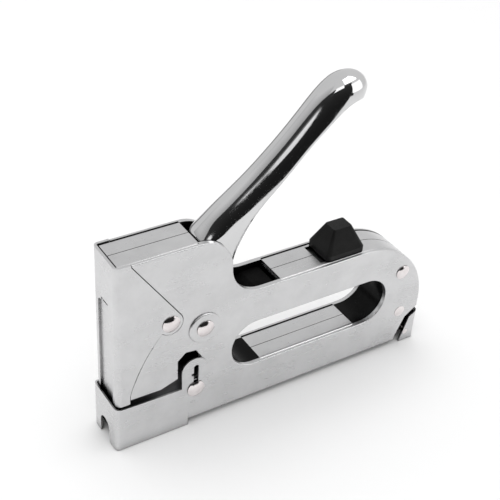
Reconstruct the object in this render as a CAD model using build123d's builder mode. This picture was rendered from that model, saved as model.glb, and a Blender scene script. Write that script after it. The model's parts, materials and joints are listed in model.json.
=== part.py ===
"""Hand-held staple gun: pressed steel housing, lever, striker, magazine and locks.

Frame: x = 0 at the front of the nose, +X to the rear, y = 0 on the middle plane,
z = 0 on the surface the tool stands on. Millimetres.
"""
from build123d import *
from math import cos, radians, sin
import os

os.makedirs("parts", exist_ok=True)

# ---------------------------------------------------------------- driving dimensions
PLATE_OUT = 10.0        # outer face of the side plates, from the middle plane
PLATE_T = 1.2
SHELL_T = 1.0
SEAM = 0.15             # half the gap where the two shells meet
BEND = 1.5              # outer bend radius of the shells
HEAD_TOP = 95.6
REAR_TOP = 63.2
BODY_BOTTOM = 2.5
HEAD_END = 38.5         # rear end of the head's top flange
REAR_FLANGE_X = 80.3    # front end of the rear top flange
SHOULDER_R = 16.0
HOLLOW_R = 15.5
TAIL_R = 38.0
TAIL_C = (124.0, 25.2)  # centre of the round tail
LATCH_CUT = [(162.0, 20.0), (155.5, 15.0), (150.9, 4.6), (150.5, BODY_BOTTOM)]
SHELL_FRONT = 3.0       # the shells and plates start behind the cover's front wall
NOSE_EDGE = [(33.0, BODY_BOTTOM), (33.0, 24.0), (40.8, 24.8), (40.8, 36.9), (38.2, 41.1),
             (33.4, 41.6), (29.7, 38.2), (29.9, 28.4), (21.7, 25.6), (SHELL_FRONT, 26.0)]
WINDOW_X = (68.6, 128.3)
WINDOW_Z = 33.45
WINDOW_R = 12.25
LIP_X = (72.8, 124.6)   # straight lips of the finger window
PIVOT = (41.9, 52.4)
COVER_RIVET = (26.0, 60.3)
NOSE_RIVET = (38.2, 20.2)
REAR_RIVET = (149.0, 44.5)
REAR_PIN = (151.2, 20.2)
COVER_FRONT = 1.2
COVER_OUT = 10.1
COVER_T = 1.2
GUIDE_OUT = 10.9        # outer face of the sliding nose guide
GUIDE_T = 0.8
EAR_R = 5.4
FIT = 0.05              # radial clearance of a running fit
MAG_TOP = 18.4
MAG_END = 148.0
RAIL_TOP = 15.7
LATCH_HINGE = (157.5, 5.0)
NOSE_LOW = 24.0         # lower edge of the front cover's sides
COVER_TOP = HEAD_TOP + 0.2
KNOB_OPENING = ((102.3, 124.0), 13.0)   # x from and to, and width, in the rear top flange
BOSS_R = 7.5
BOSS_H = 0.8
BOSS_RIM = 0.6          # edge radii of the boss and of the plates
PLATE_RIM = 0.35
OVERLAP = 0.1           # how far a raised feature starts inside the body it stands on
PIN_R = 2.5             # handle pivot pin
COVER_SHANK_R = 1.9     # rivet shanks, as their holes
NOSE_SHANK_R = 2.2
REAR_SHANK_R = 2.0
REAR_PIN_R = 3.0

SHELL_OUT = PLATE_OUT - PLATE_T
SHELL_IN = SHELL_OUT - SHELL_T


def keep(piece, name):
    """Label one finished piece and write it."""
    piece.part.label = name
    export_step(piece.part, f"parts/{name}.step")


def side_plane(side, inner, outer):
    """Plane from which extruding by outer - inner fills that layer on one side."""
    return Plane.XZ.offset(inner if side < 0 else -outer)


def on_circle(centre, radius, angle):
    """Point of a circle in the side view, angle in degrees from +X towards +Z."""
    turn = radians(angle)
    return (centre[0] + radius * cos(turn), centre[1] + radius * sin(turn))


# ---------------------------------------------------------------- side-view outlines
def body_outline(drop_head=0.0, drop_tail=0.0):
    """Housing outline; the drops lower the edge where a flange takes over."""
    head = HEAD_TOP - drop_head
    shoulder = (HEAD_END, HEAD_TOP - SHOULDER_R)
    hollow = (HEAD_END + SHOULDER_R + HOLLOW_R, REAR_TOP + HOLLOW_R)
    tail_r = TAIL_R - drop_tail
    with BuildSketch() as outline:
        with BuildLine():
            Polyline(NOSE_EDGE[-1], (SHELL_FRONT, head), (HEAD_END, head))
            if drop_head:
                Line((HEAD_END, head), (HEAD_END, HEAD_TOP))
            ThreePointArc((HEAD_END, HEAD_TOP), on_circle(shoulder, SHOULDER_R, 45),
                          on_circle(shoulder, SHOULDER_R, 0))
            Line(on_circle(shoulder, SHOULDER_R, 0), on_circle(hollow, HOLLOW_R, 180))
            ThreePointArc(on_circle(hollow, HOLLOW_R, 180), on_circle(hollow, HOLLOW_R, 225),
                          on_circle(hollow, HOLLOW_R, 270))
            Line((hollow[0], REAR_TOP), (REAR_FLANGE_X, REAR_TOP))
            if drop_tail:
                Line((REAR_FLANGE_X, REAR_TOP), (REAR_FLANGE_X, REAR_TOP - drop_tail))
            Line((REAR_FLANGE_X, REAR_TOP - drop_tail), (TAIL_C[0], REAR_TOP - drop_tail))
            ThreePointArc((TAIL_C[0], REAR_TOP - drop_tail), on_circle(TAIL_C, tail_r, 45),
                          on_circle(TAIL_C, tail_r, 0))
            Polyline(on_circle(TAIL_C, tail_r, 0), (LATCH_CUT[0][0] - drop_tail, LATCH_CUT[0][1]),
                     *LATCH_CUT[1:], *NOSE_EDGE)
        make_face()
    return outline.sketch


def ear_outline(clear=0.0):
    """Side of the front cover: a strip down the nose and an ear back to its rivet."""
    radius = EAR_R + clear
    strip = 7.2 + clear         # rear edge beside the nose
    neck = 8.2 + clear          # rear edge at the top
    upper = on_circle(COVER_RIVET, radius, 35.4)
    lower = on_circle(COVER_RIVET, radius, 222.0)
    with BuildSketch() as outline:
        with BuildLine():
            Polyline((0, NOSE_LOW), (0, COVER_TOP), (neck, COVER_TOP), (neck, COVER_TOP - 1.1), upper)
            ThreePointArc(upper, on_circle(COVER_RIVET, radius, -51.3), lower)
            ThreePointArc(lower, (12.9 + clear, 43.2 - clear), (strip, 28.5))
            Polyline((strip, 28.5), (strip, NOSE_LOW), (0, NOSE_LOW))
        make_face()
    return outline.sketch


def window_outline():
    with BuildSketch() as outline:
        with Locations((sum(WINDOW_X) / 2, WINDOW_Z)):
            SlotCenterToCenter(WINDOW_X[1] - WINDOW_X[0], 2 * WINDOW_R)
    return outline.sketch


def holes(spots):
    """Round holes of the side view, from (centre, radius) pairs."""
    with BuildSketch() as outline:
        for centre, radius in spots:
            with Locations(centre):
                Circle(radius)
    return outline.sketch


COMMON_HOLES = [(PIVOT, PIN_R), (NOSE_RIVET, NOSE_SHANK_R), (REAR_RIVET, REAR_SHANK_R),
                (REAR_PIN, REAR_PIN_R)]


# ---------------------------------------------------------------- housing
def side_plate(side):
    with BuildPart() as plate:
        with BuildSketch(side_plane(side, SHELL_OUT, PLATE_OUT)):
            add(body_outline())
            add(ear_outline(0.25), mode=Mode.SUBTRACT)
            add(window_outline(), mode=Mode.SUBTRACT)
        extrude(amount=PLATE_T)
        rim = plate.faces().sort_by(Axis.Y)[-1 if side > 0 else 0].edges()
        fillet(rim, PLATE_RIM)
        with BuildSketch(side_plane(side, PLATE_OUT - OVERLAP, PLATE_OUT + BOSS_H)):
            add(holes([(PIVOT, BOSS_R)]))
        extrude(amount=BOSS_H + OVERLAP)
        boss = plate.faces().sort_by(Axis.Y)[-1 if side > 0 else 0].edges()
        fillet(boss, BOSS_RIM)
        with BuildSketch(side_plane(side, SHELL_OUT, PLATE_OUT + BOSS_H)):
            add(holes(COMMON_HOLES))
        extrude(amount=PLATE_T + BOSS_H, mode=Mode.SUBTRACT)
    return plate


def bend_profile(side, top, leg):
    """Flange, bend and a short leg of one shell, seen along the tool."""
    sign = -1 if leg < 0 else 1
    mid = BEND * (1 - cos(radians(45)))
    inner = BEND - SHELL_T
    with BuildSketch() as outline:
        with BuildLine():
            Line((side * SEAM, top), (side * (SHELL_OUT - BEND), top))
            ThreePointArc((side * (SHELL_OUT - BEND), top),
                          (side * (SHELL_OUT - mid), top + sign * mid),
                          (side * SHELL_OUT, top + sign * BEND))
            Polyline((side * SHELL_OUT, top + sign * BEND), (side * SHELL_OUT, top + leg),
                     (side * SHELL_IN, top + leg), (side * SHELL_IN, top + sign * BEND))
            ThreePointArc((side * SHELL_IN, top + sign * BEND),
                          (side * (SHELL_IN - inner * 0.29), top + sign * (BEND - inner * 0.71)),
                          (side * (SHELL_IN - inner), top + sign * SHELL_T))
            Polyline((side * (SHELL_IN - inner), top + sign * SHELL_T),
                     (side * SEAM, top + sign * SHELL_T), (side * SEAM, top))
        make_face()
    return outline.sketch


def across(x):
    """Plane across the tool at x: local x is +Y, local y is +Z."""
    return Plane(origin=(x, 0, 0), x_dir=(0, 1, 0), z_dir=(1, 0, 0))


def inner_shell(side):
    drop = 2.4          # the walls stop this far under the flanges
    leg = 4.0           # and the bends reach this far down them
    with BuildPart() as shell:
        with BuildSketch(side_plane(side, SHELL_IN, SHELL_OUT)):
            add(body_outline(drop, drop))
            add(window_outline(), mode=Mode.SUBTRACT)
            with Locations(((LIP_X[0] + LIP_X[1]) / 2, WINDOW_Z)):
                Rectangle(LIP_X[1] - LIP_X[0], 2 * (WINDOW_R + 2), mode=Mode.SUBTRACT)
            add(holes([(COVER_RIVET, COVER_SHANK_R), *COMMON_HOLES]), mode=Mode.SUBTRACT)
        extrude(amount=SHELL_T)
        with BuildSketch(across(SHELL_FRONT)):
            add(bend_profile(side, HEAD_TOP, -leg))
        extrude(amount=HEAD_END - SHELL_FRONT)
        for lip_z, lip_leg in ((WINDOW_Z - WINDOW_R, -leg), (WINDOW_Z + WINDOW_R, leg)):
            with BuildSketch(across(LIP_X[0])):
                add(bend_profile(side, lip_z, lip_leg))
            extrude(amount=LIP_X[1] - LIP_X[0])
        with BuildSketch(across(REAR_FLANGE_X)):
            add(bend_profile(side, REAR_TOP, -leg))
        extrude(amount=TAIL_C[0] - REAR_FLANGE_X)
        with BuildSketch(across(TAIL_C[0])):
            add(bend_profile(side, REAR_TOP, -leg))
        revolve(axis=Axis((TAIL_C[0], 0, TAIL_C[1]), (0, 1, 0)), revolution_arc=90)
        with BuildSketch(Plane(origin=(0, 0, LATCH_CUT[0][1]), x_dir=(0, 1, 0), z_dir=(0, 0, 1))):
            add(bend_profile(side, -LATCH_CUT[0][0], leg))
        extrude(amount=TAIL_C[1] - LATCH_CUT[0][1])
        (opening_from, opening_to), opening_width = KNOB_OPENING
        with BuildSketch(Plane.XY.offset(REAR_TOP - 2 * SHELL_T)):
            with Locations(((opening_from + opening_to) / 2, 0)):
                Rectangle(opening_to - opening_from, opening_width)
        extrude(amount=3 * SHELL_T, mode=Mode.SUBTRACT)
    return shell


COVER_BACK = 32.0       # the cover's blank reaches past its ears
RECESS_HALF = 6.0       # pressed recess in the front wall
RECESS_TOP = 73.0
RECESS_DEPTH = 0.9
PANEL_HALF = 6.8        # plate set in the recess
PANEL_Z = (4.0, 74.0)
HOOK_SLOT = (6.0, 2.4)  # width and height, at the top of the recess

with BuildPart() as front_cover:
    with BuildSketch(Plane.XY.offset(NOSE_LOW)):
        with BuildLine():
            FilletPolyline((COVER_BACK, -COVER_OUT), (COVER_FRONT, -COVER_OUT),
                           (COVER_FRONT, COVER_OUT), (COVER_BACK, COVER_OUT), radius=2.4)
            Line((COVER_BACK, COVER_OUT), (COVER_BACK, -COVER_OUT))
        make_face()
        with BuildLine():
            FilletPolyline((COVER_BACK + 1, -COVER_OUT + COVER_T),
                           (COVER_FRONT + COVER_T, -COVER_OUT + COVER_T),
                           (COVER_FRONT + COVER_T, COVER_OUT - COVER_T),
                           (COVER_BACK + 1, COVER_OUT - COVER_T), radius=0.8)
            Line((COVER_BACK + 1, COVER_OUT - COVER_T), (COVER_BACK + 1, -COVER_OUT + COVER_T))
        make_face(mode=Mode.SUBTRACT)
    extrude(amount=COVER_TOP - NOSE_LOW)
    with BuildSketch(Plane.XZ.offset(-COVER_OUT)):
        add(ear_outline())
    extrude(amount=2 * COVER_OUT, mode=Mode.INTERSECT)
    with BuildSketch(Plane.YZ):
        with BuildLine():
            FilletPolyline((-RECESS_HALF, 20), (-RECESS_HALF, RECESS_TOP),
                           (RECESS_HALF, RECESS_TOP), (RECESS_HALF, 20), radius=2.5)
            Line((RECESS_HALF, 20), (-RECESS_HALF, 20))
        make_face()
    extrude(amount=COVER_FRONT + RECESS_DEPTH, mode=Mode.SUBTRACT)
    with BuildSketch(Plane.YZ.offset(COVER_FRONT + RECESS_DEPTH)):
        with Locations((0, sum(PANEL_Z) / 2)):
            Rectangle(2 * PANEL_HALF, PANEL_Z[1] - PANEL_Z[0])
    extrude(amount=RECESS_DEPTH)
    with BuildSketch(Plane.YZ):
        with Locations((0, RECESS_TOP + 0.4)):
            Rectangle(*HOOK_SLOT)
    extrude(amount=5, mode=Mode.SUBTRACT)
    with BuildSketch(Plane.XZ.offset(-COVER_OUT)):
        add(holes([(COVER_RIVET, COVER_SHANK_R)]))
    extrude(amount=2 * COVER_OUT, mode=Mode.SUBTRACT)
keep(front_cover, "front_cover")

for side, word in ((-1, "left"), (1, "right")):
    keep(side_plate(side), f"{word}_side_plate")
    keep(inner_shell(side), f"{word}_inner_shell")


# ---------------------------------------------------------------- rivets and pins
def rivet_ends(spot, shank, head_r, head_h, rim=0.3):
    """The same domed rivet end on both sides; shank lists (radius, from, to) outwards."""
    base = shank[-1][2]
    dome = head_h - rim
    ball = (head_r ** 2 + dome ** 2) / (2 * dome)
    with BuildPart() as rivet:
        with BuildSketch(Plane.XZ.offset(base)):
            with Locations(spot):
                Circle(head_r)
        extrude(amount=head_h)
        with Locations((spot[0], ball - base - head_h, spot[1])):
            Sphere(ball, mode=Mode.INTERSECT)
        for radius, low, high in shank:
            with BuildSketch(Plane.XZ.offset(low)):
                with Locations(spot):
                    Circle(radius)
            extrude(amount=high - low)
        mirror(about=Plane.XZ)
    return rivet


UPSET_R = 3.0           # inner end of a cover rivet
UPSET_T = 0.6
SLOT_SHANK_R = 1.1      # part of a nose guide rivet that the guide slides on
GUIDE_PLAY = 0.1
HEAD_R = 4.0
HEAD_H = 1.4

keep(rivet_ends(COVER_RIVET, [(UPSET_R, SHELL_IN - UPSET_T, SHELL_IN),
                              (COVER_SHANK_R, SHELL_IN, COVER_OUT)], HEAD_R, HEAD_H), "cover_rivets")
keep(rivet_ends(PIVOT, [(PIN_R, 0, PLATE_OUT + BOSS_H)], HEAD_R, HEAD_H), "handle_pivot_pin")
keep(rivet_ends(NOSE_RIVET, [(NOSE_SHANK_R, SHELL_IN, PLATE_OUT),
                             (SLOT_SHANK_R, PLATE_OUT, GUIDE_OUT + GUIDE_PLAY)], 4.1, HEAD_H),
     "nose_guide_rivets")
keep(rivet_ends(REAR_RIVET, [(REAR_SHANK_R, 0, PLATE_OUT)], 3.6, 1.2), "rear_rivet")
keep(rivet_ends(REAR_PIN, [(REAR_PIN_R, 0, PLATE_OUT)], 2.9, 0.5, 0.1), "rear_cross_pin")

with BuildPart() as rear_spacer:
    with BuildSketch(Plane.XZ.offset(-SHELL_IN)):
        with Locations(REAR_RIVET):
            Circle(3.6)
            Circle(REAR_SHANK_R, mode=Mode.SUBTRACT)
    extrude(amount=2 * SHELL_IN)
keep(rear_spacer, "rear_spacer")

# ---------------------------------------------------------------- inside the head
SPRING_X = 12.4
SPRING_LOW = 50.0
SPRING_HIGH = 92.0
SHELF_Z = 26.6
SHELF_T = 1.4
PAD_H = 5.7             # rubber under the hammer

with BuildPart() as spring_seat:
    with BuildSketch(Plane.XY.offset(SPRING_HIGH)):
        with Locations((SPRING_X, 0)):
            Rectangle(16, 2 * SHELL_IN)
    extrude(amount=2.0)
    with BuildSketch(Plane.XY.offset(SPRING_HIGH)):
        with Locations((SPRING_X, 0)):
            Circle(4.6)
    extrude(amount=-3.0)
    fillet(spring_seat.faces().sort_by(Axis.Z)[0].edges(), 0.8)
keep(spring_seat, "spring_seat")

with BuildPart() as bumper_shelf:
    with BuildSketch(Plane.XY.offset(SHELF_Z)):
        with Locations((13.2, 0)):
            Rectangle(16.4, 2 * SHELL_IN)
    extrude(amount=SHELF_T)
keep(bumper_shelf, "bumper_shelf")

with BuildPart() as hammer_bumper:
    with BuildSketch(Plane.XY.offset(SHELF_Z + SHELF_T)):
        with Locations((13.0, 0)):
            RectangleRounded(14, 13, 1.5)
    extrude(amount=PAD_H)
    fillet(hammer_bumper.faces().sort_by(Axis.Z)[-1].edges(), 0.8)
keep(hammer_bumper, "hammer_bumper")

with BuildPart() as handle_bumper:
    with BuildSketch(Plane.XZ.offset(-SHELL_IN)):
        with BuildLine():
            Polyline((58.5, 48.8), (79.5, 48.8), (79.5, 60.0), (70.0, 60.0), (58.5, 52.5), (58.5, 48.8))
        make_face()
    extrude(amount=2 * SHELL_IN)
    fillet(handle_bumper.edges().filter_by(Axis.Y).group_by(Axis.Z)[-1], 1.2)
keep(handle_bumper, "handle_bumper")

# ---------------------------------------------------------------- finger window liners
LINER_OUT = 15.0
LINER_PROUD = 0.2       # the liners stand this far into the window
BLOCK = 40.0            # cuts each liner off where the lips begin

for name, centre_x, toward in (("front_window_liner", WINDOW_X[0], -1),
                               ("rear_window_liner", WINDOW_X[1], 1)):
    tab_x = LIP_X[0] if toward < 0 else LIP_X[1]
    with BuildPart() as liner:
        with BuildSketch(Plane.XZ.offset(-SHELL_IN)):
            for radius, mode in ((LINER_OUT, Mode.ADD), (WINDOW_R - LINER_PROUD, Mode.SUBTRACT)):
                with Locations((centre_x, WINDOW_Z)):
                    Circle(radius, mode=mode)
                with Locations(((centre_x + tab_x) / 2, WINDOW_Z)):
                    Rectangle(abs(centre_x - tab_x) - 2 * OVERLAP, 2 * radius, mode=mode)
            with Locations((tab_x - toward * (BLOCK / 2 - OVERLAP), WINDOW_Z)):
                Rectangle(BLOCK, BLOCK, mode=Mode.SUBTRACT)
        extrude(amount=2 * SHELL_IN)
    keep(liner, name)

# ---------------------------------------------------------------- handle
HANDLE_HALF = 7.2
HANDLE_T = 1.4
HANDLE_TOP = [(39.4, 86.0), (41.4, 98.2), (47.6, 104.2), (56.0, 109.7), (64.5, 116.0),
              (73.3, 123.8), (82.2, 132.5), (90.3, 141.2), (97.0, 147.8), (104.2, 151.9),
              (111.4, 152.2), (117.2, 149.2), (119.4, 144.2), (116.6, 140.2)]
HANDLE_UNDER = [(116.6, 140.2), (109.8, 141.2), (102.4, 136.9), (93.9, 129.4), (85.1, 120.6),
                (76.5, 111.4), (68.5, 102.6), (61.9, 94.2), (57.6, 86.0), (55.0, 77.0),
                (52.6, 66.0)]
CHEEK_R = 8.0
HANDLE_RIM = 1.0
ARM_RIVET = (41.5, 64.0)
ARM_RIVET_R = 1.5


def handle_outline():
    with BuildSketch() as outline:
        with BuildLine():
            Spline(*HANDLE_TOP)
            Spline(*HANDLE_UNDER)
            Line(HANDLE_UNDER[-1], on_circle(PIVOT, CHEEK_R, 8))
            ThreePointArc(on_circle(PIVOT, CHEEK_R, 8), on_circle(PIVOT, CHEEK_R, -86),
                          on_circle(PIVOT, CHEEK_R, 180))
            Line(on_circle(PIVOT, CHEEK_R, 180), HANDLE_TOP[0])
        make_face()
    return outline.sketch


def handle_hollow():
    """Space inside the channel: the back line moved in, open along the underside."""
    with BuildLine():
        back = Spline(*HANDLE_TOP)
    inner = []
    last, reach = 14, 0.93      # points along the back, and how far round the tip they go
    for step in range(last + 1):
        spot = back.position_at(step / last * reach)
        along = back.tangent_at(step / last * reach)
        inner.append((spot.X + HANDLE_T * along.Y, spot.Y - HANDLE_T * along.X))
    with BuildSketch() as outline:
        with BuildLine():
            Spline(*inner)
            Polyline(inner[-1], (126.0, 128.0), (84.0, 84.0), (70.0, 40.0), (30.0, 40.0),
                     (30.0, PIVOT[1] + 4.0), (inner[0][0] - 3.0, inner[0][1] - 8.0), inner[0])
        make_face()
    return outline.sketch


def longest_rims(piece):
    """Longest edge of each flat side of a piece."""
    return [face.edges().sort_by(SortBy.LENGTH)[-1] for face in piece.faces().filter_by(Axis.Y)]


with BuildPart() as handle_lever:
    with BuildSketch(Plane.XZ.offset(-HANDLE_HALF)):
        add(handle_outline())
    extrude(amount=2 * HANDLE_HALF)
    fillet(longest_rims(handle_lever), HANDLE_RIM)
    with BuildSketch(Plane.XZ.offset(-HANDLE_HALF + HANDLE_T)):
        add(handle_hollow())
    extrude(amount=2 * (HANDLE_HALF - HANDLE_T), mode=Mode.SUBTRACT)
    with BuildSketch(Plane.XZ.offset(-HANDLE_HALF)):
        add(holes([(PIVOT, PIN_R + FIT), (ARM_RIVET, ARM_RIVET_R)]))
    extrude(amount=2 * HANDLE_HALF, mode=Mode.SUBTRACT)
keep(handle_lever, "handle_lever")

ARM_HALF = 3.0
CHEEK_IN = HANDLE_HALF - HANDLE_T
TIP = (17.2, 44.4)      # rounded nose of the lifter, under the hammer's ledge
TIP_R = 2.0
HUB_R = 6.5

with BuildPart() as lifter_arm:
    with BuildSketch(Plane.XZ.offset(-ARM_HALF)):
        with BuildLine():
            Polyline((17.8, 46.3), (30.0, 53.2), (38.5, 67.5), (44.5, 67.5), (48.4, 50.5),
                     (41.9, 45.6), (27.0, 43.8), (17.2, 42.4), (17.8, 46.3))
        make_face()
        with Locations(TIP):
            Circle(TIP_R)
        with Locations(PIVOT):
            Circle(HUB_R)
        add(holes([(PIVOT, PIN_R + FIT), (ARM_RIVET, ARM_RIVET_R)]), mode=Mode.SUBTRACT)
    extrude(amount=2 * ARM_HALF)
keep(lifter_arm, "lifter_arm")

with BuildPart() as lifter_rivet:
    with BuildSketch(Plane.XZ.offset(-HANDLE_HALF)):
        with Locations(ARM_RIVET):
            Circle(ARM_RIVET_R)
    extrude(amount=2 * HANDLE_HALF)
keep(lifter_rivet, "lifter_rivet")

with BuildPart() as pivot_bushes:
    for low in (ARM_HALF, -CHEEK_IN):
        with BuildSketch(Plane.XZ.offset(low)):
            with Locations(PIVOT):
                Circle(4.2)
                Circle(PIN_R + FIT, mode=Mode.SUBTRACT)
        extrude(amount=CHEEK_IN - ARM_HALF)
keep(pivot_bushes, "pivot_bushes")

# ---------------------------------------------------------------- striker
HAMMER_LEDGE = 46.7
HAMMER_LOW = 34.0
BLADE_FRONT = 3.3
BLADE_T = 1.2
BLADE_RIVET = (0, 42.0)
BLADE_RIVET_R = 1.5
BLADE_RIVET_LENGTH = 6.2

with BuildPart() as hammer_block:
    with BuildSketch(Plane.XY.offset(HAMMER_LOW)):
        with Locations((12.25, 0)):
            Rectangle(15.5, 14.4)
    extrude(amount=SPRING_LOW - HAMMER_LOW)
    with BuildSketch(Plane.XZ.offset(-3.4)):
        with BuildLine():
            Polyline((12.0, 30.0), (12.0, HAMMER_LEDGE), (17.8, HAMMER_LEDGE), (17.8, 52.0),
                     (22.0, 52.0), (22.0, 30.0), (12.0, 30.0))
        make_face()
    extrude(amount=6.8, mode=Mode.SUBTRACT)
    with BuildSketch(Plane.YZ.offset(BLADE_FRONT + BLADE_T)):
        with Locations(BLADE_RIVET):
            Circle(BLADE_RIVET_R)
    extrude(amount=BLADE_RIVET_LENGTH - BLADE_T, mode=Mode.SUBTRACT)
keep(hammer_block, "hammer_block")

with BuildPart() as driver_blade:
    with BuildSketch(Plane.YZ.offset(BLADE_FRONT)):
        with Locations((0, 26.5)):
            Rectangle(11.2, 47.0)
        with Locations(BLADE_RIVET):
            Circle(BLADE_RIVET_R, mode=Mode.SUBTRACT)
    extrude(amount=BLADE_T)
    fillet(driver_blade.edges().filter_by(Axis.X).group_by(Axis.Z)[-1], 1.5)
keep(driver_blade, "driver_blade")

with BuildPart() as blade_rivet:
    with BuildSketch(Plane.YZ.offset(BLADE_FRONT)):
        with Locations(BLADE_RIVET):
            Circle(BLADE_RIVET_R)
    extrude(amount=BLADE_RIVET_LENGTH)
keep(blade_rivet, "blade_rivet")


def coil(start, axis, radius, wire, length, turns):
    """Round-wire spring whose middle line starts at one end and runs along axis."""
    with BuildPart() as spring:
        with BuildLine() as path:
            Helix(pitch=length / turns, height=length, radius=radius, center=start, direction=axis)
        with BuildSketch(Plane(origin=path.line @ 0, z_dir=path.line % 0)):
            Circle(wire)
        sweep(is_frenet=True)
    return spring


END_GAP = 1.2           # from the middle of the end turns to the seats

keep(coil((SPRING_X, 0, SPRING_LOW + END_GAP), (0, 0, 1), 6.1, 0.9,
          SPRING_HIGH - SPRING_LOW - 2 * END_GAP, 9), "main_spring")

# ---------------------------------------------------------------- nose guide
GUIDE_REAR = 34.7
GUIDE_TRAVEL = 12.0
GUIDE_BACK = 46.0       # the guide's blank reaches past its ears
GUIDE_SLOT_W = 2.4
ARCH_W = 8.6            # notch over the staple
ARCH_TOP = 11.0

with BuildPart() as nose_guide:
    with BuildSketch():
        with BuildLine():
            FilletPolyline((GUIDE_BACK, -GUIDE_OUT), (0, -GUIDE_OUT), (0, GUIDE_OUT),
                           (GUIDE_BACK, GUIDE_OUT), radius=2.2)
            Line((GUIDE_BACK, GUIDE_OUT), (GUIDE_BACK, -GUIDE_OUT))
        make_face()
        with BuildLine():
            FilletPolyline((GUIDE_BACK + 1, -GUIDE_OUT + GUIDE_T), (GUIDE_T, -GUIDE_OUT + GUIDE_T),
                           (GUIDE_T, GUIDE_OUT - GUIDE_T), (GUIDE_BACK + 1, GUIDE_OUT - GUIDE_T),
                           radius=1.4)
            Line((GUIDE_BACK + 1, GUIDE_OUT - GUIDE_T), (GUIDE_BACK + 1, -GUIDE_OUT + GUIDE_T))
        make_face(mode=Mode.SUBTRACT)
    extrude(amount=40)
    with BuildSketch(Plane.XZ.offset(-GUIDE_OUT)):
        with BuildLine():
            Polyline((0, 0), (0, 23.8), (3.0, 23.0), (31.4, 22.3), (31.2, 31.2), (43.6, 31.2),
                     (44.7, 20.2), (38.2, 13.7), (GUIDE_REAR, 13.7), (GUIDE_REAR, 0), (0, 0))
        make_face()
        with Locations((37.4, 31.2)):
            Circle(6.2)
        with Locations(NOSE_RIVET):
            Circle(6.5)
        with Locations((38.2, 26.3)):
            SlotOverall(GUIDE_TRAVEL + GUIDE_SLOT_W + 0.2, GUIDE_SLOT_W, rotation=90, mode=Mode.SUBTRACT)
        with Locations((37.2, 28.6)):
            Rectangle(GUIDE_SLOT_W, 1.4, mode=Mode.SUBTRACT)
    extrude(amount=2 * GUIDE_OUT, mode=Mode.INTERSECT)
    with BuildSketch(Plane.YZ):
        with Locations((0, ARCH_TOP - ARCH_W)):
            SlotOverall(2 * ARCH_W, ARCH_W, rotation=90)
    extrude(amount=3, mode=Mode.SUBTRACT)
keep(nose_guide, "nose_guide")

# ---------------------------------------------------------------- magazine
CHANNEL_IN = 5.8
CHANNEL_X = 4.7
RAIL_X = 4.8
RAIL_LENGTH = 147.4
RAIL_HALF = 4.8
RAIL_SLOT = 3.2         # slot along the rail's top, for the pusher's web


def channel(half, wall, x0, x1, z0, z1, roof):
    """Upside-down U section along the tool."""
    with BuildPart() as trough:
        with BuildSketch(across(x0)):
            with Locations((0, (z0 + z1) / 2)):
                Rectangle(2 * half, z1 - z0)
            with Locations((0, (z0 + z1 - roof) / 2 - 0.5)):
                Rectangle(2 * (half - wall), z1 - z0 - roof + 1, mode=Mode.SUBTRACT)
        extrude(amount=x1 - x0)
    return trough


keep(channel(SHELL_IN, SHELL_IN - CHANNEL_IN, CHANNEL_X, MAG_END, 3.0, MAG_TOP, 1.2),
     "magazine_channel")

with BuildPart() as staple_rail:
    with BuildSketch(across(RAIL_X)):
        with Locations((0, 9.6)):
            Rectangle(2 * RAIL_HALF, 12.2)
        with Locations((0, 8.7)):
            Rectangle(2 * RAIL_HALF - 1.6, 12.2, mode=Mode.SUBTRACT)
    extrude(amount=RAIL_LENGTH)
    with BuildSketch(Plane.XY.offset(RAIL_TOP - 2)):
        with Locations((70.0, 0)):
            Rectangle(128.0, RAIL_SLOT)
    extrude(amount=3, mode=Mode.SUBTRACT)
keep(staple_rail, "staple_rail")

ROD_Z = 9.5
ROD_R = 1.5
ROD_FRONT = 5.6
END_BLOCK_X = 152.2     # front face of the block that closes the magazine
END_BLOCK_LOW = 2.6
ROD_SEAT = 1.8
PUSHER_FRONT = 6.2
PUSHER_END = 22.2
HINGE_R = 1.5

with BuildPart() as pusher_rod:
    with BuildSketch(across(ROD_FRONT)):
        with Locations((0, ROD_Z)):
            Circle(ROD_R)
    extrude(amount=END_BLOCK_X + ROD_SEAT - ROD_FRONT)
keep(pusher_rod, "pusher_rod")

with BuildPart() as staple_pusher:
    with BuildSketch(across(PUSHER_FRONT)):
        with Locations((0, 11.2)):
            Rectangle(11.2, 11.4)
        with Locations((0, 10.4)):
            Rectangle(2 * RAIL_HALF + 0.4, 11.2, mode=Mode.SUBTRACT)
        with Locations((0, 11.6)):
            Rectangle(2.4, 9.4)
        with Locations((0, ROD_Z)):
            Circle(3.0)
        with Locations((0, ROD_Z)):
            Circle(ROD_R + FIT, mode=Mode.SUBTRACT)
    extrude(amount=PUSHER_END - PUSHER_FRONT)
keep(staple_pusher, "staple_pusher")

keep(coil((PUSHER_END + 0.8, 0, ROD_Z), (1, 0, 0), 2.2, 0.35, END_BLOCK_X - PUSHER_END - 1.6, 24),
     "pusher_spring")

with BuildPart() as magazine_end:
    with BuildSketch(Plane.XZ.offset(-5.6)):
        with BuildLine():
            Polyline((END_BLOCK_X, END_BLOCK_LOW), (160.2, END_BLOCK_LOW), (160.2, 8.0), (156.5, 8.0),
                     (156.5, 15.0), (END_BLOCK_X, 15.0), (END_BLOCK_X, END_BLOCK_LOW))
        make_face()
        with Locations(LATCH_HINGE):
            Circle(HINGE_R, mode=Mode.SUBTRACT)
    extrude(amount=11.2)
    with BuildSketch(across(END_BLOCK_X)):
        with Locations((0, ROD_Z)):
            Circle(ROD_R)
    extrude(amount=ROD_SEAT, mode=Mode.SUBTRACT)
keep(magazine_end, "magazine_end")

with BuildPart() as latch_hinge_pin:
    with BuildSketch(Plane.XZ.offset(-PLATE_OUT)):
        with Locations(LATCH_HINGE):
            Circle(HINGE_R)
    extrude(amount=2 * PLATE_OUT)
keep(latch_hinge_pin, "latch_hinge_pin")

LATCH_REAR = 163.2
LATCH_BLANK = 150.0     # the latch's blank starts here, before its slanted front edge is cut

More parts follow.
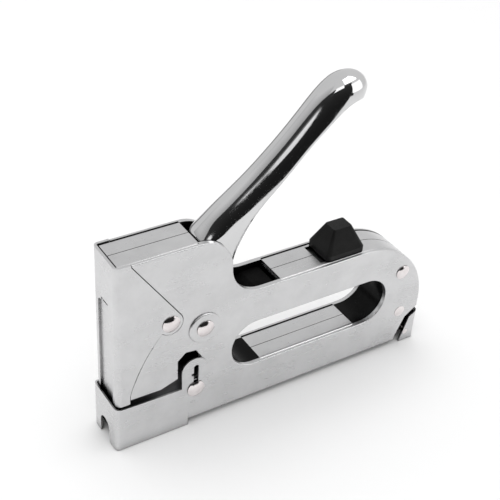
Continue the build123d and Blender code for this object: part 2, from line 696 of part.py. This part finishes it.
with BuildPart() as magazine_latch:
    with BuildSketch():
        with BuildLine():
            FilletPolyline((LATCH_BLANK, -PLATE_OUT), (LATCH_REAR, -PLATE_OUT),
                           (LATCH_REAR, PLATE_OUT), (LATCH_BLANK, PLATE_OUT), radius=1.8)
            Line((LATCH_BLANK, PLATE_OUT), (LATCH_BLANK, -PLATE_OUT))
        make_face()
        with BuildLine():
            FilletPolyline((LATCH_BLANK - 1, -SHELL_OUT), (LATCH_REAR - PLATE_T, -SHELL_OUT),
                           (LATCH_REAR - PLATE_T, SHELL_OUT), (LATCH_BLANK - 1, SHELL_OUT), radius=0.7)
            Line((LATCH_BLANK - 1, SHELL_OUT), (LATCH_BLANK - 1, -SHELL_OUT))
        make_face(mode=Mode.SUBTRACT)
    extrude(amount=18)
    with BuildSketch(Plane.XZ.offset(-PLATE_OUT)):
        with BuildLine():
            Polyline((154.2, 0), (158.5, 14.0), (LATCH_REAR, 16.8), (LATCH_REAR, 0), (154.2, 0))
        make_face()
        with Locations(LATCH_HINGE):
            Circle(HINGE_R + FIT, mode=Mode.SUBTRACT)
    extrude(amount=2 * PLATE_OUT, mode=Mode.INTERSECT)
keep(magazine_latch, "magazine_latch")

keep(coil((157.1, 0, 11.8), (1, 0, 0), 2.0, 0.35, 4.2, 4), "latch_spring")

# ---------------------------------------------------------------- handle lock
KNOB_X = (105.0, 125.0)
KNOB_TOP = 76.2
KNOB_WIDE = 16.4
KNOB_RISE = 0.3         # gap over the top flange
KNOB_SKIRT = 2.6        # straight part, before the taper
TONGUE_LOW = REAR_TOP - 1.3
SLIDE_T = 1.0
SCREW_SPOTS = [(109.5, 0), (118.0, 0)]
SCREW_R = 1.1
SCREW_DEPTH = 5.0       # into the knob
SCREW_HEAD = (2.2, 1.4)

with BuildPart() as lock_knob:
    with BuildSketch(Plane.XY.offset(REAR_TOP + KNOB_RISE)):
        with Locations((sum(KNOB_X) / 2, 0)):
            RectangleRounded(KNOB_X[1] - KNOB_X[0], KNOB_WIDE, 2.0)
    extrude(amount=KNOB_SKIRT)
    with BuildSketch(Plane.XY.offset(REAR_TOP + KNOB_RISE + KNOB_SKIRT)):
        with Locations((sum(KNOB_X) / 2, 0)):
            RectangleRounded(KNOB_X[1] - KNOB_X[0], KNOB_WIDE, 2.0)
    with BuildSketch(Plane.XY.offset(KNOB_TOP)):
        with Locations((sum(KNOB_X) / 2, 0)):
            RectangleRounded(9.6, 7.2, 0.8)
    loft()
    with BuildSketch(Plane.XY.offset(TONGUE_LOW)):
        with Locations((113.75, 0)):
            Rectangle(14.5, 12.4)
    extrude(amount=REAR_TOP + KNOB_RISE - TONGUE_LOW)
    with BuildSketch(Plane.XY.offset(TONGUE_LOW)):
        with Locations(*SCREW_SPOTS):
            Circle(SCREW_R)
    extrude(amount=SCREW_DEPTH, mode=Mode.SUBTRACT)
keep(lock_knob, "lock_knob")

with BuildPart() as lock_slide:
    with BuildSketch(Plane.XY.offset(TONGUE_LOW - SLIDE_T)):
        with Locations((104.0, 0)):
            Rectangle(48.0, 14.0)
        with Locations(*SCREW_SPOTS):
            Circle(SCREW_R, mode=Mode.SUBTRACT)
    extrude(amount=SLIDE_T)
keep(lock_slide, "lock_slide")

with BuildPart() as lock_screws:
    with BuildSketch(Plane.XY.offset(TONGUE_LOW - SLIDE_T - SCREW_HEAD[1])):
        with Locations(*SCREW_SPOTS):
            Circle(SCREW_HEAD[0])
    extrude(amount=SCREW_HEAD[1])
    with BuildSketch(Plane.XY.offset(TONGUE_LOW - SLIDE_T)):
        with Locations(*SCREW_SPOTS):
            Circle(SCREW_R)
    extrude(amount=SLIDE_T + SCREW_DEPTH - 0.2)
keep(lock_screws, "lock_screws")
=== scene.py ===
"""Looks, stage, light and camera for the staple gun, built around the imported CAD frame."""

import json
import math

import bpy
import numpy as np
from mathutils import Matrix, Vector


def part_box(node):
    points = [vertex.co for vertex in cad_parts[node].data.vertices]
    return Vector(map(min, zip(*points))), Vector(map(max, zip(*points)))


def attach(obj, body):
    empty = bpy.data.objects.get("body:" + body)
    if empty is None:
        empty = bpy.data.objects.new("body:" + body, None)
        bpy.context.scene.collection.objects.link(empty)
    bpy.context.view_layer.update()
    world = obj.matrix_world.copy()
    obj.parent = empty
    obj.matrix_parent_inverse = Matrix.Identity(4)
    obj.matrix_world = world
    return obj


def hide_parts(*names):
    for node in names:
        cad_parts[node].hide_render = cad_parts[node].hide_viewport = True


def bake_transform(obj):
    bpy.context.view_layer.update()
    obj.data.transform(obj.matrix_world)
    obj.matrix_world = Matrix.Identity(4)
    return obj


MM = 0.001
HANDLE_LIE = 49     # degrees that the lever rises towards the tail, with the handle up
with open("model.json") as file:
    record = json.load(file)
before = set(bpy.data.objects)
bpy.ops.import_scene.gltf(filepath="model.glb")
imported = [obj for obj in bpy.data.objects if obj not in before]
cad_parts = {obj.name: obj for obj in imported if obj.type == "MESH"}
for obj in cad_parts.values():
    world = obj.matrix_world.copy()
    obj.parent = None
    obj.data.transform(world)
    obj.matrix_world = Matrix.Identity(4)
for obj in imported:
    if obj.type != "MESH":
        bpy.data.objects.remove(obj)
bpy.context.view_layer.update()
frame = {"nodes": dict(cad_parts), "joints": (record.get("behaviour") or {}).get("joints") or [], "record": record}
nodes = frame["nodes"]


# ---------------------------------------------------------------- material helpers
class Shader:
    """A small wrapper round one material's node tree."""

    def __init__(self, name):
        self.material = bpy.data.materials.new(name)
        self.material.use_nodes = True
        self.tree = self.material.node_tree
        self.tree.nodes.clear()
        self.out = self.tree.nodes.new("ShaderNodeOutputMaterial")
        self.bsdf = self.tree.nodes.new("ShaderNodeBsdfPrincipled")
        self.link(self.bsdf.outputs[0], self.out.inputs["Surface"])
        geometry = self.node("ShaderNodeNewGeometry")
        self.position, self.normal = geometry.outputs["Position"], geometry.outputs["True Normal"]

    def node(self, kind, **settings):
        made = self.tree.nodes.new(kind)
        for key, value in settings.items():
            setattr(made, key, value)
        return made

    def link(self, source, target):
        self.tree.links.new(source, target)

    def set(self, **values):
        for key, value in values.items():
            self.bsdf.inputs[key.replace("_", " ")].default_value = value

    def drive(self, socket, source):
        self.link(source, self.bsdf.inputs[socket])

    def scaled(self, scale):
        """Position stretched per axis, in repeats per metre."""
        mapping = self.node("ShaderNodeMapping")
        mapping.inputs["Scale"].default_value = scale
        self.link(self.position, mapping.inputs["Vector"])
        return mapping.outputs[0]

    def along_handle(self, stretch):
        """Position turned to the handle's lie, drawn out along it."""
        mapping = self.node("ShaderNodeMapping", vector_type="TEXTURE")
        mapping.inputs["Rotation"].default_value = (0, -math.radians(HANDLE_LIE), 0)
        mapping.inputs["Scale"].default_value = (stretch, 1, 1)
        self.link(self.position, mapping.inputs["Vector"])
        return mapping.outputs[0]

    def noise(self, scale, detail=4.0, rough=0.55, stretch=(1, 1, 1), lie=None):
        texture = self.node("ShaderNodeTexNoise")
        texture.inputs["Scale"].default_value = scale
        texture.inputs["Detail"].default_value = detail
        texture.inputs["Roughness"].default_value = rough
        self.link(lie or self.scaled(stretch), texture.inputs["Vector"])
        return texture.outputs["Fac"]

    def ramp(self, source, low, high, out_low, out_high):
        ramp = self.node("ShaderNodeMapRange", clamp=True)
        ramp.inputs["From Min"].default_value = low
        ramp.inputs["From Max"].default_value = high
        ramp.inputs["To Min"].default_value = out_low
        ramp.inputs["To Max"].default_value = out_high
        self.link(source, ramp.inputs["Value"])
        return ramp.outputs[0]

    def math(self, operation, first, second):
        node = self.node("ShaderNodeMath", operation=operation)
        for socket, value in zip(node.inputs, (first, second)):
            if isinstance(value, (int, float)):
                socket.default_value = value
            else:
                self.link(value, socket)
        return node.outputs[0]

    def mix(self, factor, first, second):
        node = self.node("ShaderNodeMix", data_type="RGBA")
        self.link(factor, node.inputs["Factor"])
        for socket, value in ((node.inputs[6], first), (node.inputs[7], second)):
            if isinstance(value, tuple):
                socket.default_value = (*value, 1.0)
            else:
                self.link(value, socket)
        return node.outputs[2]

    def bump(self, height, strength, distance):
        bump = self.node("ShaderNodeBump")
        bump.inputs["Strength"].default_value = strength
        bump.inputs["Distance"].default_value = distance
        self.link(height, bump.inputs["Height"])
        self.drive("Normal", bump.outputs[0])

    def openness(self, reach, low, high):
        """0 in tight gaps and inside the housing, 1 on open faces; the mask for painted shade in the colour."""
        hidden = self.node("ShaderNodeAmbientOcclusion", samples=8)
        hidden.inputs["Distance"].default_value = reach
        return self.ramp(hidden.outputs["AO"], low, high, 0.0, 1.0)


def plated_steel(name, shade_sides=False):
    """Bright nickel-plated pressed sheet: faint rolling waves, handling haze, fine scratches; painted shade
    darkens tight gaps and the inside of the housing.

    The sideways flag paints the same near-black shade on the faces pressed against the side plates, seen only
    through their gaps.
    """
    s = Shader(name)
    s.set(Metallic=1.0)
    haze = s.noise(70, 6, 0.62)
    wave = s.noise(60, 1, 0.4)
    grain = s.noise(700, 3, 0.6)
    streak = s.noise(260, 4, 0.6, (0.12, 1, 1.6))
    # painted shade mask: 0 in gaps and inside the housing
    unshaded_face = s.openness(0.012, 0.36, 0.60)
    # painted shade on the faces turned sideways, inside the side plates
    if shade_sides:
        split = s.node("ShaderNodeSeparateXYZ")
        s.link(s.normal, split.inputs[0])
        sideways = s.math("ABSOLUTE", split.outputs["Y"], 0)
        unshaded_face = s.math("MULTIPLY", unshaded_face, s.ramp(sideways, 0.55, 0.9, 1.0, 0.08))
    tint = s.mix(s.ramp(haze, 0.3, 0.7, 0, 1), (0.585, 0.585, 0.59), (0.675, 0.675, 0.68))
    # painted shade: near-black colour where the mask is low
    s.drive("Base Color", s.mix(unshaded_face, (0.02, 0.02, 0.02), tint))
    rough = s.ramp(haze, 0.3, 0.7, 0.26, 0.34)
    s.drive("Roughness", s.math("ADD", rough, s.ramp(streak, 0.35, 0.65, -0.03, 0.03)))
    height = s.math("ADD", wave, s.math("MULTIPLY", grain, 0.03))
    s.bump(height, 0.10, 0.0006)
    return s.material


def chrome():
    """Mirror chrome on the handle, with long soft waves from polishing."""
    s = Shader("mirror_chrome")
    s.set(Metallic=1.0)
    wave = s.noise(38, 2, 0.5)
    fine = s.noise(420, 4, 0.6)
    s.drive("Base Color", s.mix(s.ramp(wave, 0.3, 0.7, 0, 1), (0.62, 0.62, 0.625), (0.68, 0.68, 0.685)))
    s.drive("Roughness", s.ramp(fine, 0.35, 0.7, 0.045, 0.10))
    brushed = s.noise(900, 4, 0.65, lie=s.along_handle(14))
    height = s.math("ADD", wave, s.math("MULTIPLY", fine, 0.02))
    s.bump(s.math("ADD", height, s.math("MULTIPLY", brushed, 0.06)), 0.10, 0.0005)
    return s.material


def rivet_steel():
    s = Shader("rivet_steel")
    s.set(Metallic=1.0)
    pits = s.noise(1400, 3, 0.6)
    dull = s.noise(300, 4, 0.6)
    # painted contact shadow: mask that is low round the rivet's foot
    foot = s.openness(0.0025, 0.45, 0.8)
    tint = s.mix(s.ramp(dull, 0.35, 0.65, 0, 1), (0.74, 0.69, 0.69), (0.82, 0.78, 0.775))
    # painted shadow: dark colour at the foot, plain rivet tint elsewhere
    s.drive("Base Color", s.mix(foot, (0.10, 0.095, 0.095), tint))
    s.drive("Roughness", s.ramp(dull, 0.3, 0.7, 0.07, 0.13))
    s.bump(pits, 0.10, 0.0003)
    return s.material


def worn_steel(name, light, dark, rough, stretch=(1, 1, 1)):
    """Oiled or zinc-plated steel inside the tool, with grinding streaks, and painted shade blackening its colour
    in gaps and tight corners.
    """
    s = Shader(name)
    s.set(Metallic=1.0)
    streak = s.noise(300, 5, 0.65, stretch)
    patch = s.noise(70, 4, 0.6)
    shade = s.ramp(s.math("MULTIPLY", streak, patch), 0.15, 0.4, 0, 1)
    # painted shade mask: 0 in gaps and inside the housing
    unshaded_face = s.openness(0.015, 0.2, 0.62)
    # painted shade: near-black colour where the mask is low
    s.drive("Base Color", s.mix(unshaded_face, (0.03, 0.03, 0.03), s.mix(shade, dark, light)))
    s.drive("Roughness", s.ramp(patch, 0.3, 0.7, rough - 0.06, rough + 0.08))
    s.bump(streak, 0.15, 0.0004)
    return s.material


def moulded_black(name, colour, rough, grain_scale, grain_depth, gloss):
    """Black plastic or rubber with a fine moulded grain and rubbed high spots."""
    s = Shader(name)
    grain = s.noise(grain_scale, 3, 0.6)
    rub = s.noise(90, 4, 0.6)
    lighter = tuple(channel * 2.2 + 0.002 for channel in colour)
    s.drive("Base Color", s.mix(s.ramp(rub, 0.4, 0.75, 0, 1), colour, lighter))
    s.drive("Roughness", s.ramp(rub, 0.3, 0.75, rough + 0.06, rough - 0.06))
    s.set(Specular_IOR_Level=gloss)
    s.bump(grain, 0.35, grain_depth)
    return s.material


MAKERS = {
    "plated_steel": lambda: plated_steel("plated_steel"),
    "inner_steel": lambda: plated_steel("inner_steel", shade_sides=True),
    "chrome": chrome,
    "rivet_steel": rivet_steel,
    "dark_steel": lambda: worn_steel("dark_steel", (0.30, 0.30, 0.31), (0.16, 0.16, 0.165),
                                     0.38, (0.2, 1, 1)),
    "zinc_steel": lambda: worn_steel("zinc_steel", (0.62, 0.63, 0.64), (0.46, 0.47, 0.48),
                                     0.34, (0.15, 1, 1)),
    "spring_steel": lambda: worn_steel("spring_steel", (0.34, 0.34, 0.35), (0.2, 0.2, 0.2), 0.30),
    "black_plastic": lambda: moulded_black("black_plastic", (0.0035, 0.0035, 0.0035),
                                           0.36, 1900, 0.0003, 0.17),
    "glossy_black": lambda: moulded_black("glossy_black", (0.0015, 0.0015, 0.0015),
                                          0.22, 1800, 0.00005, 0.08),
    "black_rubber": lambda: moulded_black("black_rubber", (0.003, 0.003, 0.003),
                                          0.75, 1500, 0.0002, 0.08),
}
materials = {name: make() for name, make in MAKERS.items()}
slot_of = {row["node"]: row["material_slot"] for row in frame["record"]["subparts"]}
# the magazine channel takes the darker steel: partly its own oiled finish, partly painted shade for the gap above
# the nose
slot_of.update(left_inner_shell="inner_steel", right_inner_shell="inner_steel",
               magazine_channel="dark_steel")
slot_of.update(front_window_liner="glossy_black", rear_window_liner="glossy_black")
for name, node in nodes.items():
    node.data.materials.clear()
    node.data.materials.append(materials[slot_of[name]])


# ---------------------------------------------------------------- handle skin
# Each row: back line (x, z), underside (x, z), half width and crown depth of one section, in mm.
SECTIONS = [
    ((38.4, 73.0), (53.6, 70.0), 7.2, 3.0),
    ((38.5, 82.0), (54.9, 76.6), 7.2, 3.0),
    ((38.6, 89.0), (56.0, 81.4), 7.2, 3.4),
    ((38.8, 92.8), (57.0, 84.8), 7.2, 5.0),
    ((39.7, 95.4), (58.2, 87.6), 7.2, 9.0),
    ((43.0, 98.6), (60.0, 91.2), 7.2, 13.0),
    ((49.0, 103.7), (63.2, 96.6), 7.2, 15.0),
    ((56.2, 109.3), (67.2, 101.8), 7.2, 16.0),
    ((64.5, 115.8), (73.8, 108.4), 7.3, 17.0),
    ((73.3, 123.6), (81.3, 115.8), 7.4, 17.5),
    ((82.2, 132.3), (89.6, 124.5), 7.4, 17.5),
    ((90.3, 141.0), (97.8, 132.2), 7.3, 16.5),
    ((97.0, 147.6), (104.0, 137.6), 7.2, 15.0),
    ((104.2, 151.7), (109.0, 140.6), 7.1, 13.0),
    ((111.4, 152.0), (112.8, 141.4), 6.6, 11.0),
    ((116.6, 149.4), (115.0, 141.2), 5.5, 8.0),
    ((119.0, 145.6), (116.2, 141.0), 4.0, 5.2),
    ((119.3, 143.2), (117.4, 141.0), 2.2, 2.8),
]
STATIONS = 150          # sections along the handle
SIDE_STEPS = 24         # points from the back line down to one lower edge
CROWN_POWER = 2.15
SHEET_T = 1.2


def smooth_rows(rows, count):
    """Natural cubic spline through the rows, sampled evenly."""
    rows = np.array(rows, float)
    step = np.linalg.norm(np.diff(rows, axis=0), axis=1)
    t = np.concatenate([[0], np.cumsum(step)])
    n = len(t)
    system, right = np.zeros((n, n)), np.zeros((n, rows.shape[1]))
    system[0, 0] = system[-1, -1] = 1
    for i in range(1, n - 1):
        before, after = t[i] - t[i - 1], t[i + 1] - t[i]
        system[i, i - 1:i + 2] = before, 2 * (before + after), after
        right[i] = 6 * ((rows[i + 1] - rows[i]) / after - (rows[i] - rows[i - 1]) / before)
    second = np.linalg.solve(system, right)
    out = []
    for value in np.linspace(0, t[-1], count):
        i = min(max(np.searchsorted(t, value) - 1, 0), n - 2)
        gap = t[i + 1] - t[i]
        a, b = (t[i + 1] - value) / gap, (value - t[i]) / gap
        out.append(a * rows[i] + b * rows[i + 1]
                   + ((a ** 3 - a) * second[i] + (b ** 3 - b) * second[i + 1]) * gap ** 2 / 6)
    return np.array(out)


def section_points(back, under, half, crown):
    """One inverted-U section from the near lower edge over the back to the far one."""
    back, under = np.array(back), np.array(under)
    depth = np.linalg.norm(under - back)
    along = (under - back) / max(depth, 1e-6)
    side = []
    for k in range(SIDE_STEPS, -1, -1):
        down = depth * (k / SIDE_STEPS) ** 2
        hollow = max(0.0, 1 - down / crown)
        side.append((half * (1 - hollow ** CROWN_POWER) ** (1 / CROWN_POWER), down))
    full = side + [(-y, s) for y, s in side[-2::-1]]
    return [(back[0] + along[0] * s, -y, back[1] + along[1] * s) for y, s in full]


def mesh_object(name, points, faces, smooth=True):
    mesh = bpy.data.meshes.new(name)
    mesh.from_pydata([Vector(p) * MM for p in points], [], faces)
    mesh.validate()
    mesh.update()
    if smooth:
        mesh.shade_smooth()
    made = bpy.data.objects.new(name, mesh)
    bpy.context.scene.collection.objects.link(made)
    return made


def handle_skin():
    rows = smooth_rows([(*back, *under, *shape) for back, under, *shape in SECTIONS], STATIONS)
    sections = [section_points(row[:2], row[2:4], row[4], row[5]) for row in rows]
    width = len(sections[0])
    points = [p for section in sections for p in section]
    faces = []
    for i in range(STATIONS - 1):
        for j in range(width - 1):
            a = i * width + j
            faces.append((a, a + width, a + width + 1, a + 1))
    last = (STATIONS - 1) * width
    for j in range((width - 1) // 2):
        a, b = last + j, last + width - 1 - j
        if b - 1 > a + 1:
            faces.append((a, b, b - 1, a + 1))
    skin = mesh_object("handle_skin", points, faces)
    thick = skin.modifiers.new("sheet", "SOLIDIFY")
    thick.thickness = SHEET_T * MM
    thick.offset = -1
    skin.data.materials.append(materials["chrome"])
    return skin


PIVOT = frame["joints"][0]["pos_m"]
CHEEK_TOP = 80.0
CHEEK_R = 8.0
CHEEK_HOLE_R = 2.65     # clears the 2.5 mm pin
CHEEK_STEP = 1.2        # longest edge of the ear's outline


def finely(outline, longest):
    """The closed outline with its long edges split."""
    out = []
    for (x, z), (next_x, next_z) in zip(outline, outline[1:] + outline[:1]):
        parts = max(1, math.ceil(math.hypot(next_x - x, next_z - z) / longest))
        out += [(x + (next_x - x) * k / parts, z + (next_z - z) * k / parts) for k in range(parts)]
    return out


def handle_cheeks():
    """The two flat ears that carry the pivot, under the channel."""
    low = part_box("handle_lever")[0]
    centre = (PIVOT[0] / MM, PIVOT[2] / MM)
    outline = [(38.6, CHEEK_TOP), (37.9, 73.0)]
    for k in range(25):
        turn = math.radians(180 + k * 188 / 24)
        outline.append((centre[0] + CHEEK_R * math.cos(turn), centre[1] + CHEEK_R * math.sin(turn)))
    outline += [(52.6, 66.0), (53.6, 70.0), (55.6, CHEEK_TOP)]
    outline = finely(outline, CHEEK_STEP)
    hole = []
    for x, z in outline:
        reach = CHEEK_HOLE_R / math.hypot(x - centre[0], z - centre[1])
        hole.append((centre[0] + (x - centre[0]) * reach, centre[1] + (z - centre[1]) * reach))
    outer = -low.y / MM
    points, faces = [], []
    count = len(outline)
    for side in (-1, 1):
        loops = []
        inner = outer - SHEET_T
        for loop, y in ((outline, outer), (outline, inner), (hole, inner), (hole, outer)):
            loops.append(range(len(points), len(points) + count))
            points += [(x, side * y, z) for x, z in loop]
        for first, second in zip(loops, loops[1:] + loops[:1]):
            for k in range(count):
                ring = (first[k], first[(k + 1) % count], second[(k + 1) % count], second[k])
                faces.append(ring[::side])
    cheeks = mesh_object("handle_cheeks", points, faces, smooth=False)
    cheeks.data.materials.append(materials["chrome"])
    return cheeks


skin = handle_skin()
cheeks = handle_cheeks()
for piece in (skin, cheeks):
    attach(piece, "handle")
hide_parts("handle_lever")


# ---------------------------------------------------------------- spring meshes copied in place of their nodes
# Node, the bodies at its fixed and moving ends, and the axis it runs along.
SPRINGS = [
    ("main_spring", "housing", "hammer", 2, -1),
    ("pusher_spring", "magazine", "pusher", 0, -1),
    ("latch_spring", "magazine", "latch", 0, 1),
]
for node_name, fixed, moving, axis, way in SPRINGS:
    coil = bpy.data.objects.new(node_name + "_coil", nodes[node_name].data.copy())
    bpy.context.scene.collection.objects.link(coil)
    low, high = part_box(node_name)
    start, end = Vector((low + high) / 2), Vector((low + high) / 2)
    start[axis], end[axis] = (low[axis], high[axis]) if way > 0 else (high[axis], low[axis])
    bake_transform(coil)
    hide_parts(node_name)


# ---------------------------------------------------------------- stage, light and camera
def stage_plane(name, corners, material):
    plane = mesh_object(name, corners, [tuple(range(len(corners)))], smooth=False)
    plane.data.materials.append(material)
    return plane


def floor_material():
    s = Shader("pale_floor")
    s.set(Metallic=0.0, Roughness=0.9, Specular_IOR_Level=0.1)
    s.drive("Base Color", s.mix(s.noise(6, 2), (0.93, 0.93, 0.93), (0.95, 0.95, 0.95)))
    return s.material


def card_material(name, level, heights=(0, 1)):
    """Even glow, or a glow that changes with height when level is a pair."""
    low, high = level if isinstance(level, tuple) else (level, level)
    material = bpy.data.materials.new(name)
    material.use_nodes = True
    tree = material.node_tree
    tree.nodes.clear()
    out = tree.nodes.new("ShaderNodeOutputMaterial")
    glow = tree.nodes.new("ShaderNodeEmission")
    place = tree.nodes.new("ShaderNodeNewGeometry")
    split = tree.nodes.new("ShaderNodeSeparateXYZ")
    grade = tree.nodes.new("ShaderNodeMapRange")
    for socket, value in zip(("From Min", "From Max", "To Min", "To Max"), (*heights, low, high)):
        grade.inputs[socket].default_value = value
    tree.links.new(place.outputs["Position"], split.inputs[0])
    tree.links.new(split.outputs["Z"], grade.inputs["Value"])
    tree.links.new(grade.outputs[0], glow.inputs["Strength"])
    tree.links.new(glow.outputs[0], out.inputs["Surface"])
    return material


FLOOR_HALF, FLOOR_Z = 6000, -0.3
FLOOR_CORNERS = ((-1, -1), (1, -1), (1, 1), (-1, 1))
stage_plane("floor", [(x * FLOOR_HALF, y * FLOOR_HALF, FLOOR_Z) for x, y in FLOOR_CORNERS], floor_material())


def only_in_reflections(plane):
    for ray in ("camera", "diffuse", "shadow", "transmission"):
        setattr(plane, "visible_" + ray, False)


def curved_card(name, level, radius, azimuths, elevations, middle=(80, 0, 50)):
    """A card bent round the tool, between two azimuths and two elevations in degrees."""
    steps = 24
    ring = []
    for k in range(steps + 1):
        turn = math.radians(azimuths[0] + (azimuths[1] - azimuths[0]) * k / steps)
        ring.append((middle[0] + radius * math.cos(turn), middle[1] + radius * math.sin(turn)))
    points = []
    heights = [middle[2] + radius * math.tan(math.radians(elevation)) for elevation in elevations]
    for height in heights:
        points += [(x, y, height) for x, y in ring]
    faces = [(k, k + 1, k + steps + 2, k + steps + 1) for k in range(steps)]
    plane = mesh_object(name, points, faces, smooth=False)
    plane.data.materials.append(card_material(name, level, [height * MM for height in heights]))
    only_in_reflections(plane)


# Level, radius, azimuths and elevations. A pair of levels goes from the card's foot to its top.
curved_card("dark_room", (0.01, 0.038), 820, (188, 306), (-12, 31))
curved_card("dark_left", 0.02, 830, (150, 190), (-10, 12))
curved_card("dark_far", 0.32, 850, (56, 150), (-5, 15))
curved_card("grey_zone", (0.50, 0.80), 860, (150, 256), (31, 52))
curved_card("edge_light", 3.2, 760, (288, 332), (34, 58))
curved_card("tip_light", 1.6, 740, (304, 336), (2, 26))
curved_card("tip_glint", 1.6, 730, (268, 286), (24, 33))
curved_card("grey_corner", 0.62, 600, (112, 140), (-40, -22))
REFLECTORS = [
    ("dark_table", 0.015, [(-900, -1200, 2), (800, -1200, 2), (230, -300, 2), (-900, -300, 2)]),
    ("lens_bright", 1.1, [(38, -240, 162), (68, -240, 132), (80, -240, 134), (70, -240, 160),
                          (56, -240, 184), (43, -240, 185), (33, -240, 178)]),
    ("lens_middle", 0.27, [(24, -241, 178), (38, -241, 162), (43, -241, 185), (52, -241, 190),
                           (38, -241, 204), (18, -241, 200)]),
    ("lens_dim", 0.05, [(0, -242, 200), (24, -242, 178), (38, -242, 204), (20, -242, 228),
                        (-20, -242, 242), (-25, -242, 225)]),
]
for name, level, corners in REFLECTORS:
    only_in_reflections(stage_plane(name, corners, card_material(name, level)))


def area_light(name, spot, aim, size, power):
    light = bpy.data.lights.new(name, "AREA")
    light.shape = "RECTANGLE"
    light.size, light.size_y = size
    light.energy = power
    lamp = bpy.data.objects.new(name, light)
    lamp.location = spot
    lamp.rotation_euler = (Vector(aim) - Vector(spot)).to_track_quat("-Z", "Y").to_euler()
    lamp.visible_glossy = False
    bpy.context.scene.collection.objects.link(lamp)


centre = (0.08, 0.0, 0.05)
area_light("top_soft", (0.05, 0.15, 1.1), centre, (1.2, 1.2), 5)
area_light("left_soft", (-0.9, -0.7, 0.9), centre, (0.8, 0.8), 1.5)

WORLD_LEVEL = 0.80
world = bpy.data.worlds.new("studio")
world.use_nodes = True
world.node_tree.nodes["Background"].inputs["Color"].default_value = (1, 1, 1, 1)
world.node_tree.nodes["Background"].inputs["Strength"].default_value = WORLD_LEVEL
bpy.context.scene.world = world

# Camera fitted to the photo.
FOCAL_MM = 75.8
CAMERA_SPOT = (-0.133864, -0.300010, 0.335140)
camera_data = bpy.data.cameras.new("camera")
camera_data.lens = FOCAL_MM
camera_data.sensor_width = 36
camera_data.clip_start = 0.01
camera = bpy.data.objects.new("camera", camera_data)
CAMERA_RIGHT = Vector((0.84980, -0.52389, 0.05807))
CAMERA_UP = Vector((0.26497, 0.51982, 0.81214))
CAMERA_BACK = Vector((-0.45566, -0.67477, 0.58057))
turned = Matrix((CAMERA_RIGHT, CAMERA_UP, CAMERA_BACK)).transposed().to_4x4()
camera.matrix_world = Matrix.Translation(CAMERA_SPOT) @ turned
bpy.context.scene.collection.objects.link(camera)
bpy.context.scene.camera = camera
bpy.context.scene.view_settings.view_transform = "Standard"
